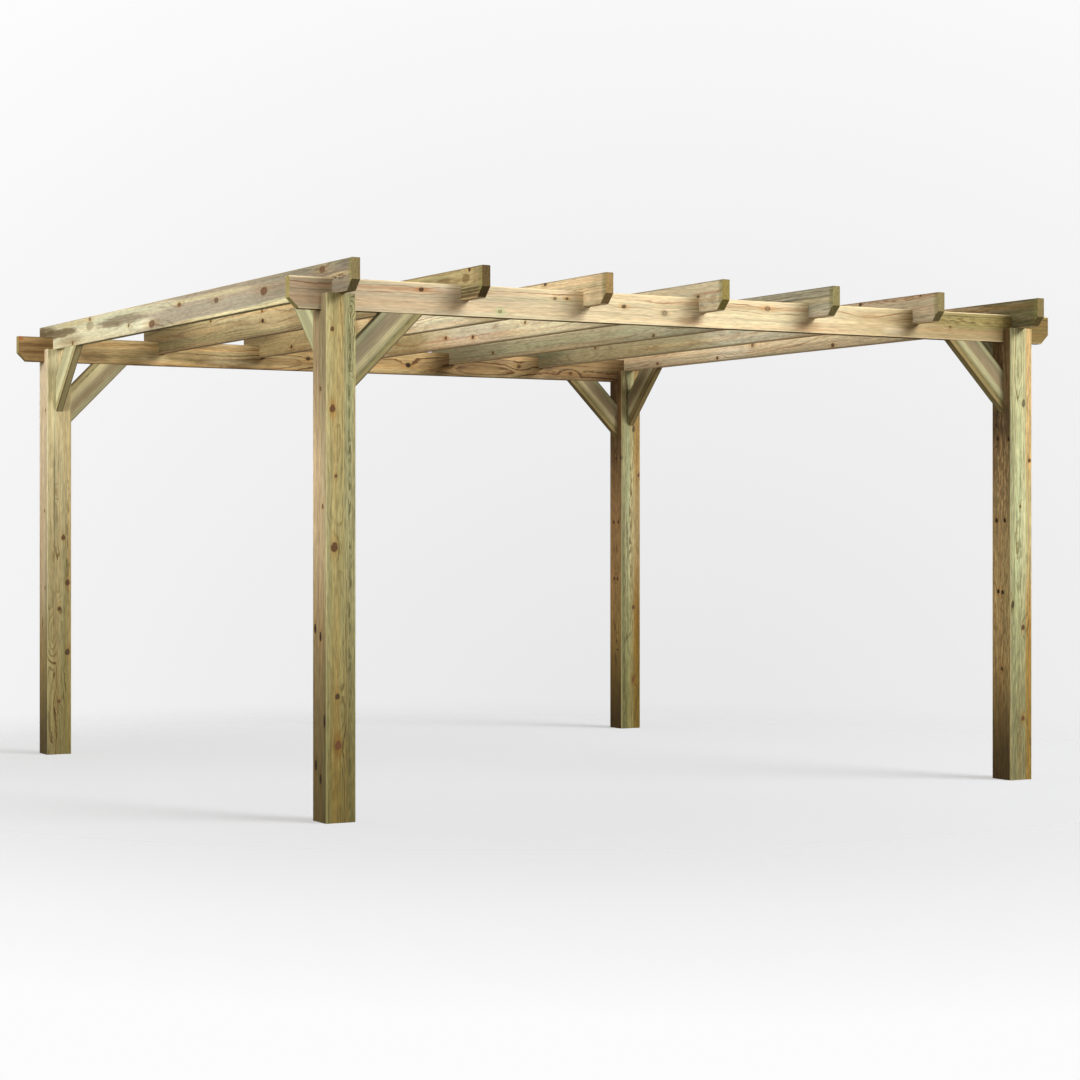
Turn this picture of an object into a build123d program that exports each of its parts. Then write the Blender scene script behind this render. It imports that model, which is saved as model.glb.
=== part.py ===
"""Free-standing timber pergola: four slotted posts, two beams, seven rafters and eight knee braces.

Millimetres, +Z up. The beams run along X and the rafters along Y. The origin is on the ground, at the
middle of the square that the four posts stand on.
"""
import os

from build123d import *

# Plan and height
post_span_x = 3225.0        # between post centres, along the beams
post_span_y = 3225.0        # between post centres, along the rafters
beam_underside = 1890.0     # headroom under both beams
beam_overhang = 187.5       # from a post's centre to the beam's end
rafter_overhang = 187.5     # from a beam's centre to the rafter's end
rafter_count = 7

# Timber sections
post_width = 120.0
beam_depth = 120.0
beam_thickness = 35.0
rafter_depth = 120.0
rafter_thickness = 35.0
brace_depth = 125.0
brace_thickness = 32.0
post_arris = 4.0            # rounding along a post's four corners
board_arris = 2.5           # rounding along the edges of every board

# Joints
rafter_drop = 60.0          # how far a rafter's underside lies below the beam's top
rafter_notch = 30.0         # the rafter's share of that drop; the beam's notch takes the rest
brace_leg = 300.0           # from the inner corner to the far end of a brace's mitred foot
tail_cut = 40.0             # the 45 degree cut off the bottom corner of each tail
cheek_gap = 0.5             # clearance at each cheek of a slot or a notch

# Levels and places that follow
beam_top = beam_underside + beam_depth
rafter_underside = beam_top - rafter_drop
rafter_seat = rafter_underside + rafter_notch
post_height = rafter_underside
beam_length = post_span_x + 2 * beam_overhang
rafter_length = post_span_y + 2 * rafter_overhang
rafter_pitch = post_span_x / (rafter_count - 1)
rafter_places = [i * rafter_pitch - post_span_x / 2 for i in range(rafter_count)]
post_corners = {
    "front_left": (-1, -1),
    "front_right": (1, -1),
    "rear_left": (-1, 1),
    "rear_right": (1, 1),
}


def box_between(x_range, y_range, z_range):
    """A box that spans the three given ranges."""
    spans = (x_range, y_range, z_range)
    middle = [(low + high) / 2 for low, high in spans]
    sizes = [high - low for low, high in spans]
    return Pos(*middle) * Box(*sizes)


def planed_timber(thickness, depth, length, arris):
    """A timber along Y with rounded long edges. Its underside is at z = 0, its middle at the origin."""
    section = Plane.XZ * Pos(0, depth / 2) * RectangleRounded(thickness, depth, arris)
    return extrude(section, length / 2, both=True)


def tail_wedge(thickness, end_y):
    """What the saw takes off the bottom corner of the tail that ends at end_y."""
    side = 1 if end_y > 0 else -1
    outline = Polyline((end_y - side * tail_cut, 0), (end_y, 0), (end_y, tail_cut), close=True)
    return extrude(Plane.YZ * make_face(outline), thickness, both=True)


def tailed_board(thickness, depth, length):
    """A board along Y with both of its tails cut."""
    board = planed_timber(thickness, depth, length, board_arris)
    for end_y in (-length / 2, length / 2):
        board -= tail_wedge(thickness, end_y)
    return board


def make_post():
    """A post at the origin. Its open slot along X takes the beam between two tongues."""
    post = extrude(RectangleRounded(post_width, post_width, post_arris), post_height)
    half_slot = beam_thickness / 2 + cheek_gap
    slot = box_between((-post_width, post_width), (-half_slot, half_slot), (beam_underside, beam_top))
    return post - slot


def make_beam():
    """A beam along X at the origin, notched from above where the rafters cross it."""
    beam = Rot(0, 0, 90) * tailed_board(beam_thickness, beam_depth, beam_length)
    half_notch = rafter_thickness / 2 + cheek_gap
    notch_floor = rafter_seat - beam_underside
    for x in rafter_places:
        cheeks = (x - half_notch, x + half_notch)
        beam -= box_between(cheeks, (-beam_thickness, beam_thickness), (notch_floor, 2 * beam_depth))
    return beam


def make_rafter():
    """A rafter along Y at the origin, notched from below where it crosses the two beams."""
    rafter = tailed_board(rafter_thickness, rafter_depth, rafter_length)
    half_notch = beam_thickness / 2 + cheek_gap
    for y in (-post_span_y / 2, post_span_y / 2):
        cheeks = (y - half_notch, y + half_notch)
        rafter -= box_between((-rafter_thickness, rafter_thickness), cheeks, (-rafter_depth, rafter_notch))
    return rafter


def make_brace():
    """A knee brace in the XZ plane. Its inner corner, the post's face under a timber, is the origin."""
    span = 2 * brace_leg
    board = Pos(0, 0, -brace_depth) * planed_timber(brace_thickness, brace_depth, span, board_arris)
    board = Rot(0, 0, -90) * board
    slope = Pos(brace_leg / 2, 0, -brace_leg / 2) * Rot(0, -45, 0) * Rot(180, 0, 0)
    reach = box_between((0, span), (-brace_thickness, brace_thickness), (-span, 0))
    return (slope * board) & reach


def write(shape, node):
    """Writes one piece under its own name."""
    export_step(shape, f"parts/{node}.step")


def main():
    os.makedirs("parts", exist_ok=True)

    post = make_post()
    for corner, (side_x, side_y) in post_corners.items():
        write(Pos(side_x * post_span_x / 2, side_y * post_span_y / 2, 0) * post, f"{corner}_post")

    beam = make_beam()
    for place, side_y in (("front", -1), ("rear", 1)):
        write(Pos(0, side_y * post_span_y / 2, beam_underside) * beam, f"{place}_beam")

    rafter = make_rafter()
    for number, x in enumerate(rafter_places, start=1):
        write(Pos(x, 0, rafter_underside) * rafter, f"rafter_{number}")

    brace = make_brace()
    for corner, (side_x, side_y) in post_corners.items():
        centre_x = side_x * post_span_x / 2
        centre_y = side_y * post_span_y / 2
        inner_face_x = centre_x - side_x * post_width / 2
        inner_face_y = centre_y - side_y * post_width / 2
        under_beam = Pos(inner_face_x, centre_y, beam_underside) * Rot(0, 0, 90 + side_x * 90) * brace
        under_rafter = Pos(centre_x, inner_face_y, rafter_underside) * Rot(0, 0, -side_y * 90) * brace
        write(under_beam, f"{corner}_beam_brace")
        write(under_rafter, f"{corner}_rafter_brace")


main()
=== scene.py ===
"""The looks of a free-standing timber pergola: pressure-treated pine on a pale studio floor.

Metres, +Z up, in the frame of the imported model. Patterns in the timber are worked out in millimetres.
"""
import math

import bpy
from mathutils import Matrix, Vector


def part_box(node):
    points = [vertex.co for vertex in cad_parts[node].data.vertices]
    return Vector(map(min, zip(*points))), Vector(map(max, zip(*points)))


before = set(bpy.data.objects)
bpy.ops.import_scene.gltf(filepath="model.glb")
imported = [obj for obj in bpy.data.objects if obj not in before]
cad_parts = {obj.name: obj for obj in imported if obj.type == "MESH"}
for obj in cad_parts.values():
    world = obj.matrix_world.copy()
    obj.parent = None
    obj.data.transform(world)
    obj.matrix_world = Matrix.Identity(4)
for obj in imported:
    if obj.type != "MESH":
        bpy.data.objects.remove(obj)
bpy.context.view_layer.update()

# Where the picture is taken from, and the lens
CAMERA_PLACE = (-5.438, -9.956, 1.071)
CAMERA_TURN = math.radians(29.39)   # clockwise from +Y, seen from above
CAMERA_REACH = 200
LENS_MM = 82.4
SENSOR_MM = 36.0
HORIZON_SHIFT = -0.0075

# Soft lamps: where each stands, what it faces, its width and height, its watts, and its spread in degrees
LAMPS = {
    "key": ((6.9, -12.2, 7.7), (1.0, 0, 1.9), (14.0, 5.0), 500, 60),
    "left_fill": ((-7.8, -1.8, 3.5), (-1.5, 0.4, 1.9), (5.0, 3.5), 135, 60),
    "overhead": ((-1.0, 1.0, 8.0), (0, 0, 0), (6.0, 6.0), 70, 180),
    "floor_key": ((8.9, -10.8, 7.7), (1.0, 0, 1.9), (12.0, 5.0), 500, 60),
}

# The world's light all round, and the paper backdrop that only the camera sees
AMBIENT = (1.0, 0.88, 0.75, 1)
AMBIENT_STRENGTH = 0.25
BACKDROP_MIDDLE = (0.052, 1, -0.106)   # its darkest place, as steps to the right, ahead and up
BACKDROP_RISE = 1.17                   # how fast it brightens above that
BACKDROP_FALL = -4.97                  # and below it
BACKDROP_CURVE = 0.6
BACKDROP_GAIN = 0.4955
BACKDROP_GREY = 0.79
BACKDROP_WHITE = 0.974

# The studio floor
FLOOR_REACH = 60
FLOOR_FADE = (4.6, 1.9)                # it fades out from the second distance to the first
FLOOR_KEPT = 0.44                      # how solid it is in its middle
FLOOR_SEEN = (0.885, 0.915, 0.975, 1)
FLOOR_BOUNCE = (0.30, 0.27, 0.235, 1)  # what it throws back at the timber

# Timber sections, in millimetres, and the ways that the timbers run and face
MILLIMETRE = 0.001
POST_SIDE = 120.0
BOARD_DEPTH = 120.0
BOARD_THICKNESS = 35.0
BRACE_DEPTH = 125.0
BRACE_THICKNESS = 32.0
ENDLESS = 1e6
LEFT, FRONT, UP = Vector((-1, 0, 0)), Vector((0, -1, 0)), Vector((0, 0, 1))


# ---------------------------------------------------------------- shader tools

SMOOTH = {"interpolation_type": "SMOOTHSTEP"}
COLOURS = {"data_type": "RGBA"}
TINTED = {"data_type": "RGBA", "blend_type": "MULTIPLY"}


def linear(code):
    """An sRGB hex colour as linear RGBA."""
    channels = [int(code[i:i + 2], 16) / 255 for i in (1, 3, 5)]
    return [c / 12.92 if c <= 0.04045 else ((c + 0.055) / 1.055) ** 2.4 for c in channels] + [1.0]


def add(tree, kind, inputs=None, **settings):
    """Adds a shader node: inputs maps a socket's name or index to a value or to the socket it is linked to.

    A colour Mix has its two colours at 6 and 7 and gives the mixed one at 2.
    """
    node = tree.nodes.new("ShaderNode" + kind)
    for name, value in settings.items():
        setattr(node, name, value)
    for key, value in (inputs or {}).items():
        if isinstance(value, bpy.types.NodeSocket):
            tree.links.new(value, node.inputs[key])
        else:
            node.inputs[key].default_value = value
    return node


def span(start, stop, low=0.0, high=1.0):
    """Where a Map Range starts and stops, and what it gives there."""
    return {1: start, 2: stop, 3: low, 4: high}


def per(cell):
    """Cells per millimetre, along the grain and across it both ways, for a cell of this length and width."""
    length, width = cell
    return 1 / length, 1 / width, 1 / width


def material(name):
    """An empty node material."""
    made = bpy.data.materials.new(name)
    made.use_nodes = True
    made.node_tree.nodes.clear()
    return made


def group(name, inputs, outputs):
    """A node group with the given sockets. Returns its tree, its input sockets and its output node."""
    tree = bpy.data.node_groups.new(name, "ShaderNodeTree")
    for way, sockets in (("INPUT", inputs), ("OUTPUT", outputs)):
        for label, kind in sockets.items():
            tree.interface.new_socket(label, in_out=way, socket_type="NodeSocket" + kind)
    return tree, tree.nodes.new("NodeGroupInput").outputs, tree.nodes.new("NodeGroupOutput")


# ---------------------------------------------------------------- camera, floor and light

def place_camera():
    """A long lens at chest height, level, so that the posts stay upright."""
    camera = bpy.data.objects.new("camera", bpy.data.cameras.new("camera"))
    camera.data.sensor_width = SENSOR_MM
    camera.data.lens = LENS_MM
    camera.data.shift_y = HORIZON_SHIFT
    camera.data.clip_end = CAMERA_REACH
    camera.location = CAMERA_PLACE
    camera.rotation_euler = (math.pi / 2, 0, -CAMERA_TURN)
    bpy.context.scene.collection.objects.link(camera)
    bpy.context.scene.camera = camera


def make_world():
    """A dim warm light all round, and to the camera a paper backdrop that brightens away from its middle."""
    world = bpy.data.worlds.new("studio")
    world.use_nodes = True
    tree = world.node_tree
    tree.nodes.clear()
    middle = Matrix.Rotation(-CAMERA_TURN, 3, "Z") @ Vector(BACKDROP_MIDDLE).normalized()
    way = add(tree, "TexCoord").outputs["Generated"]
    away = add(tree, "VectorMath", {0: way, 1: middle}, operation="SUBTRACT").outputs[0]
    level = add(tree, "VectorMath", {0: away, 1: (1, 1, 0)}, operation="MULTIPLY").outputs[0]
    level = add(tree, "VectorMath", {0: level, 1: level}, operation="DOT_PRODUCT").outputs["Value"]
    # It brightens slowly upward and fast downward
    height = add(tree, "SeparateXYZ", {0: away}).outputs[2]
    rise = add(tree, "Math", {0: height, 1: BACKDROP_RISE}, operation="MULTIPLY").outputs[0]
    fall = add(tree, "Math", {0: height, 1: BACKDROP_FALL}, operation="MULTIPLY").outputs[0]
    upright = add(tree, "Math", {0: rise, 1: fall}, operation="MAXIMUM").outputs[0]
    far = add(tree, "Math", {0: upright, 1: upright, 2: level}, operation="MULTIPLY_ADD").outputs[0]
    far = add(tree, "Math", {0: far, 1: BACKDROP_CURVE}, operation="POWER").outputs[0]
    inputs = {0: far, 1: BACKDROP_GAIN, 2: BACKDROP_GREY}
    grey = add(tree, "Math", inputs, operation="MULTIPLY_ADD").outputs[0]
    grey = add(tree, "Math", {0: grey, 1: BACKDROP_WHITE}, operation="MINIMUM").outputs[0]
    seen = add(tree, "Background", {"Color": grey, "Strength": 1.0}).outputs[0]
    ambient = add(tree, "Background", {"Color": AMBIENT, "Strength": AMBIENT_STRENGTH}).outputs[0]
    to_camera = add(tree, "LightPath").outputs["Is Camera Ray"]
    mix = add(tree, "MixShader", {0: to_camera, 1: ambient, 2: seen}).outputs[0]
    add(tree, "OutputWorld", {"Surface": mix})
    bpy.context.scene.world = world


def make_floor():
    """A pale floor that takes the pergola's shadows and fades into the backdrop around it. Returns it."""
    mesh = bpy.data.meshes.new("studio_floor")
    corners = [(x * FLOOR_REACH, y * FLOOR_REACH, 0) for x, y in ((-1, -1), (1, -1), (1, 1), (-1, 1))]
    mesh.from_pydata(corners, [], [(0, 1, 2, 3)])
    floor = bpy.data.objects.new("studio_floor", mesh)
    bpy.context.scene.collection.objects.link(floor)
    paint = material("studio_floor_paint")
    tree = paint.node_tree
    spot = add(tree, "TexCoord").outputs["Object"]
    far = add(tree, "VectorMath", {0: spot}, operation="LENGTH").outputs["Value"]
    fade = span(*FLOOR_FADE, 0.0, FLOOR_KEPT)
    kept = add(tree, "MapRange", {0: far, **fade}, **SMOOTH).outputs[0]
    to_camera = add(tree, "LightPath").outputs["Is Camera Ray"]
    kept = add(tree, "Mix", {0: to_camera, 2: 1.0, 3: kept}).outputs[0]
    shade = add(tree, "Mix", {0: to_camera, 6: FLOOR_BOUNCE, 7: FLOOR_SEEN}, **COLOURS).outputs[2]
    matt = add(tree, "BsdfDiffuse", {"Color": shade}).outputs[0]
    clear = add(tree, "BsdfTransparent").outputs[0]
    mix = add(tree, "MixShader", {0: kept, 1: clear, 2: matt}).outputs[0]
    add(tree, "OutputMaterial", {"Surface": mix})
    mesh.materials.append(paint)
    return floor


def softbox(name, place, target, size, power, spread):
    """An area lamp that faces its target. Returns it."""
    lamp = bpy.data.lights.new(name, "AREA")
    lamp.shape = "RECTANGLE"
    lamp.size, lamp.size_y = size
    lamp.energy = power
    lamp.spread = math.radians(spread)
    box = bpy.data.objects.new(name, lamp)
    box.location = place
    box.rotation_euler = (Vector(target) - Vector(place)).to_track_quat("-Z", "Y").to_euler()
    bpy.context.scene.collection.objects.link(box)
    return box


def light_the_scene(floor):
    """Soft studio light. The floor has a key lamp of its own, so the posts throw a single row of shadows."""
    lamps = {name: softbox(name, *facts) for name, facts in LAMPS.items()}
    for name, linked, state in (("all_but_floor", ("key", "left_fill"), "EXCLUDE"),
                                ("floor_alone", ("floor_key",), "INCLUDE")):
        lit = bpy.data.collections.new(name)
        lit.objects.link(floor)
        lit.collection_objects[0].light_linking.link_state = state
        for lamp in linked:
            lamps[lamp].light_linking.receiver_collection = lit


# ---------------------------------------------------------------- pressure-treated pine

# How large each pattern is, in millimetres along the grain and across it
TRUNK_CELL = (620, 170)        # the trunk wanders over a metre or so
RIPPLE_CELL = (240, 38)        # each ring ripples over a hand's width
TEETH_CELL = (26, 6)           # and has a serrated edge
STRETCH_CELL = (330, 30)       # the grain shows strongly in one stretch and hardly in the next
FIBRE_CELL = (300, 8)          # fibres are drawn 1 to 4 mm wide, coarser than life, so that they show at all
DUCT_CELL = (48, 4.4)          # resin ducts, short and dark, are drawn 2 to 4 mm wide for the same reason
TREATMENT_CELL = (1300, 26)    # the treatment takes unevenly, in long streaks
RAGGED_CELL = (95, 11)         # fibres break up a patch's edge
FLECK_CELL = (32, 7)           # a broken patch is a row of flecks
KNOT_ROUGHNESS_CELL = 8        # a knot's outline is rough

# How far the ripples and the teeth shift a ring, in millimetres
RIPPLE_SHIFT = 4.5
TEETH_SHIFT = 3.0

# Late wood darkens slowly through the year and stops short at winter. Years, stretches and timbers differ
LATE_PEAK = 0.94
WINTER = span(1.0, 0.96)
YEARS = span(0.0, 1.0, 0.15)
STRETCHES = span(0.38, 0.6, 0.3, 1.15)
CALM_STRENGTH = 0.2
DUCTS = span(0.36, 0.66)

# These keep the stretches and the treatment from following the rings
STRETCH_SEED = 3.1
TREATMENT_SEED = 7.3

# A knot, from outside in, in its own radii: the wood that swells round it, its resin, its rim and its heart
SWELL = span(1.7, 0.0)
HALO = span(1.0, 0.2)
HALO_SHAPE = (1 / 4.2, 1 / 1.9, 0)
INSIDE = span(1.7, 1.25)
CORE = span(1.25, 0.9)
HEART = span(0.95, 0.6, 0.0, 0.9)
KNOT_ROUGHNESS = 1.1
POST_KNOT_DEPTH = 46.0         # a knot in a post starts this far out from its middle
KNOT_FADE = 14.0               # and is whole at the face, this much farther out
BOARD_KNOT_DEPTH = -1000.0     # a knot in a board goes right through
HEART_BROWN = "#633f24"
RIM_BROWN = "#2e2013"

FLECKS = span(0.5, 0.62)

# Tints multiply the colour under them
UNTINTED = (1, 1, 1, 1)
GREEN_TINT = (0.84, 0.96, 0.90, 1)
TAN_TINT = (1.10, 0.93, 0.78, 1)
RESIN_TINT = (0.92, 0.68, 0.42, 1)
GREEN_STREAKS = span(0.48, 0.66)
TAN_STREAKS = span(0.52, 0.34)
PALE_STREAKS = span(0.35, 0.65, 0.80, 1.20)
FIBRE_SHADES = span(0.3, 0.7, 0.62, 1.33)
DUCT_SHADES = span(0.0, 1.0, 1.2, 0.72)

# Edges that carry painted light and shade: millimetres in from a timber's corners, and down from its middle
ARRIS = span(7.0, 2.0)
LOWER_EDGE = span(-56.0, -59.5)

# Ends: how squarely a face looks along the grain. A sloping tail cut is darker than a square one
END_FACE = span(0.35, 0.6)
TAIL_CUT = span(0.8, 0.95, 0.72, 1.0)

# Planed, unsealed pine: rough and matt, a little less so on the hard late wood
ROUGHNESS = span(0.0, 1.0, 0.78, 0.6)
SPECULAR_LEVEL = 0.25
BUMP_STRENGTH = 0.35
BUMP_DEPTH = 0.0012


def rings_group():
    """Growth rings of a log sawn through. A slow bend in the trunk draws the flames on a board's face."""
    tree, given, out = group(
        "growth_rings",
        {"Place": "Vector", "Pith": "Vector", "Ring width": "Float", "Early": "Float", "Bend": "Float",
         "Lift": "Float", "Seed": "Float", "Lively way": "Vector", "Calm": "Float", "Lively": "Float"},
        {"Late wood": "Float", "Fibre": "Float", "Pores": "Float", "Zones": "Color"})
    place, seed = given["Place"], given["Seed"]
    stretch_seed = add(tree, "Math", {0: seed, 1: STRETCH_SEED}).outputs[0]
    treatment_seed = add(tree, "Math", {0: seed, 1: TREATMENT_SEED}).outputs[0]
    # Every pattern is noise with one cell a unit, so that the cells above set its size
    noise = {}
    for pattern, cell, own in (
            ("trunk", TRUNK_CELL, {}), ("ripple", RIPPLE_CELL, {"Detail": 2.0}), ("teeth", TEETH_CELL, {}),
            ("stretch", STRETCH_CELL, {"W": stretch_seed}), ("duct", DUCT_CELL, {}),
            ("fibre", FIBRE_CELL, {"Detail": 3.0, "Roughness": 0.8}),
            ("treatment", TREATMENT_CELL, {"W": treatment_seed, "Detail": 2.0})):
        spot = add(tree, "VectorMath", {0: place, 1: per(cell)}, operation="MULTIPLY").outputs[0]
        inputs = {"Vector": spot, "W": seed, "Scale": 1.0, "Detail": 1.0, **own}
        noise[pattern] = add(tree, "TexNoise", inputs, noise_dimensions="4D").outputs
    inputs = {0: noise["trunk"]["Color"], 1: (0.5, 0.5, 0.5)}
    bend = add(tree, "VectorMath", inputs, operation="SUBTRACT").outputs[0]
    bend = add(tree, "VectorMath", {0: bend, "Scale": given["Bend"]}, operation="SCALE").outputs[0]
    from_pith = add(tree, "VectorMath", {0: place, 1: given["Pith"]}, operation="SUBTRACT").outputs[0]
    from_pith = add(tree, "VectorMath", {0: from_pith, 1: bend}, operation="ADD").outputs[0]
    across = add(tree, "VectorMath", {0: from_pith, 1: (0, 1, 1)}, operation="MULTIPLY").outputs[0]
    far = add(tree, "VectorMath", {0: across}, operation="LENGTH").outputs["Value"]
    far = add(tree, "Math", {0: far, 1: given["Lift"]}, operation="ADD").outputs[0]
    for pattern, shift in (("ripple", RIPPLE_SHIFT), ("teeth", TEETH_SHIFT)):
        inputs = {0: noise[pattern][0], 1: shift, 2: far}
        far = add(tree, "Math", inputs, operation="MULTIPLY_ADD").outputs[0]
    count = add(tree, "Math", {0: far, 1: given["Ring width"]}, operation="DIVIDE").outputs[0]
    ring = add(tree, "Math", {0: count, 1: seed}, operation="ADD").outputs[0]
    year = add(tree, "Math", {0: ring}, operation="FLOOR").outputs[0]
    season = add(tree, "Math", {0: ring}, operation="FRACT").outputs[0]
    summer = span(given["Early"], LATE_PEAK)
    late = add(tree, "MapRange", {0: season, **summer}, **SMOOTH).outputs[0]
    drop = add(tree, "MapRange", {0: season, **WINTER}).outputs[0]
    weather = add(tree, "TexWhiteNoise", {"W": year}, noise_dimensions="1D").outputs["Value"]
    weather = add(tree, "MapRange", {0: weather, **YEARS}).outputs[0]
    shown = add(tree, "MapRange", {0: noise["stretch"][0], **STRETCHES}).outputs[0]
    # Each timber is livelier toward one end or one edge
    inputs = {0: place, 1: given["Lively way"]}
    way = add(tree, "VectorMath", inputs, operation="DOT_PRODUCT").outputs["Value"]
    inputs = {0: way, **span(given["Calm"], given["Lively"], CALM_STRENGTH)}
    lively = add(tree, "MapRange", inputs).outputs[0]
    for share in (drop, weather, shown, lively):
        late = add(tree, "Math", {0: late, 1: share}, operation="MULTIPLY").outputs[0]
    pores = add(tree, "MapRange", {0: noise["duct"][0], **DUCTS}).outputs[0]
    for label, socket in (("Late wood", late), ("Fibre", noise["fibre"][0]), ("Pores", pores),
                          ("Zones", noise["treatment"]["Color"])):
        tree.links.new(socket, out.inputs[label])
    return tree


def knot_group():
    """A branch sawn through: the rings swell round it, its rim is dark, its heart brown, its halo resin."""
    tree, given, out = group(
        "knot",
        {"Lift": "Float", "Heart": "Float", "Rim": "Float", "Resin": "Float", "Place": "Vector",
         "Centre": "Vector", "Size": "Vector", "Swell": "Float", "Red": "Float", "Dead": "Float",
         "Stained": "Float", "Depth": "Float"},
        {"Lift": "Float", "Heart": "Float", "Rim": "Float", "Resin": "Float"})
    place, depth = given["Place"], given["Depth"]
    offset = add(tree, "VectorMath", {0: place, 1: given["Centre"]}, operation="SUBTRACT").outputs[0]
    scaled = add(tree, "VectorMath", {0: offset, 1: given["Size"]}, operation="DIVIDE").outputs[0]
    flat = add(tree, "VectorMath", {0: scaled, 1: (1, 1, 0)}, operation="MULTIPLY").outputs[0]
    inputs = {0: offset, "Scale": 1 / KNOT_ROUGHNESS_CELL}
    close = add(tree, "VectorMath", inputs, operation="SCALE").outputs[0]
    rough = add(tree, "TexNoise", {"Vector": close, "Scale": 1.0, "Detail": 2.0, "Roughness": 0.7}).outputs[0]
    far = add(tree, "VectorMath", {0: flat}, operation="LENGTH").outputs["Value"]
    edge = add(tree, "Math", {0: rough, 1: KNOT_ROUGHNESS, 2: far}, operation="MULTIPLY_ADD").outputs[0]
    height = add(tree, "SeparateXYZ", {0: place}).outputs[2]
    top = add(tree, "Math", {0: depth, 1: KNOT_FADE}).outputs[0]
    here = add(tree, "MapRange", {0: height, 1: depth, 2: top}).outputs[0]
    inside = add(tree, "MapRange", {0: edge, **INSIDE}, **SMOOTH).outputs[0]
    core = add(tree, "MapRange", {0: edge, **CORE}, **SMOOTH).outputs[0]
    hollow = add(tree, "Math", {0: given["Dead"], 1: 1.0}, operation="SUBTRACT").outputs[0]
    inputs = {0: core, 1: hollow, 2: inside}
    rim = add(tree, "Math", inputs, operation="MULTIPLY_ADD", use_clamp=True).outputs[0]
    heart = add(tree, "MapRange", {0: edge, **HEART}, **SMOOTH).outputs[0]
    rim = add(tree, "Math", {0: rim, 1: heart}, operation="MAXIMUM").outputs[0]
    stretched = add(tree, "VectorMath", {0: flat, 1: HALO_SHAPE}, operation="MULTIPLY").outputs[0]
    halo_far = add(tree, "VectorMath", {0: stretched}, operation="LENGTH").outputs["Value"]
    halo = add(tree, "MapRange", {0: halo_far, **HALO}, **SMOOTH).outputs[0]
    swell = add(tree, "MapRange", {0: halo_far, **SWELL}).outputs[0]
    # Each mark is added to what the knots before this one left
    for label, mask, strength in (("Lift", swell, "Swell"), ("Heart", inside, "Red"), ("Rim", rim, "Dead"),
                                  ("Resin", halo, "Stained")):
        joining = "ADD" if label == "Lift" else "MAXIMUM"
        amount = add(tree, "Math", {0: mask, 1: given[strength]}, operation="MULTIPLY").outputs[0]
        amount = add(tree, "Math", {0: amount, 1: here}, operation="MULTIPLY").outputs[0]
        joined = add(tree, "Math", {0: amount, 1: given[label]}, operation=joining).outputs[0]
        tree.links.new(joined, out.inputs[label])
    return tree


def patch_group():
    """A patch of other colour, long with the grain, with its edge broken up by the fibres."""
    tree, given, out = group(
        "patch",
        {"Base": "Color", "Place": "Vector", "Centre": "Vector", "Size": "Vector", "Tone": "Color",
         "Strength": "Float", "Soft": "Float", "Ragged": "Float", "Broken": "Float"},
        {"Base": "Color"})
    place, soft = given["Place"], given["Soft"]
    offset = add(tree, "VectorMath", {0: place, 1: given["Centre"]}, operation="SUBTRACT").outputs[0]
    scaled = add(tree, "VectorMath", {0: offset, 1: given["Size"]}, operation="DIVIDE").outputs[0]
    far = add(tree, "VectorMath", {0: scaled}, operation="LENGTH").outputs["Value"]
    streak = add(tree, "VectorMath", {0: offset, 1: per(RAGGED_CELL)}, operation="MULTIPLY").outputs[0]
    noise = add(tree, "TexNoise", {"Vector": streak, "Scale": 1.0, "Detail": 2.0}).outputs[0]
    noise = add(tree, "Math", {0: noise, 1: 0.5}, operation="SUBTRACT").outputs[0]
    far = add(tree, "Math", {0: noise, 1: given["Ragged"], 2: far}, operation="MULTIPLY_ADD").outputs[0]
    outer = add(tree, "Math", {0: 1.0, 1: soft}).outputs[0]
    inner = add(tree, "Math", {0: 1.0, 1: soft}, operation="SUBTRACT").outputs[0]
    mask = add(tree, "MapRange", {0: far, 1: outer, 2: inner}, **SMOOTH).outputs[0]
    mask = add(tree, "Math", {0: mask, 1: given["Strength"]}, operation="MULTIPLY").outputs[0]
    flecks = add(tree, "VectorMath", {0: offset, 1: per(FLECK_CELL)}, operation="MULTIPLY").outputs[0]
    flecks = add(tree, "TexNoise", {"Vector": flecks, "Scale": 1.0, "Detail": 1.0}).outputs[0]
    flecks = add(tree, "MapRange", {0: flecks, **FLECKS}, **SMOOTH).outputs[0]
    flecks = add(tree, "Mix", {0: given["Broken"], 2: 1.0, 3: flecks}).outputs[0]
    mask = add(tree, "Math", {0: mask, 1: flecks}, operation="MULTIPLY").outputs[0]
    mixed = add(tree, "Mix", {0: mask, 6: given["Base"], 7: given["Tone"]}, **COLOURS).outputs[2]
    tree.links.new(mixed, out.inputs["Base"])
    return tree


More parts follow.
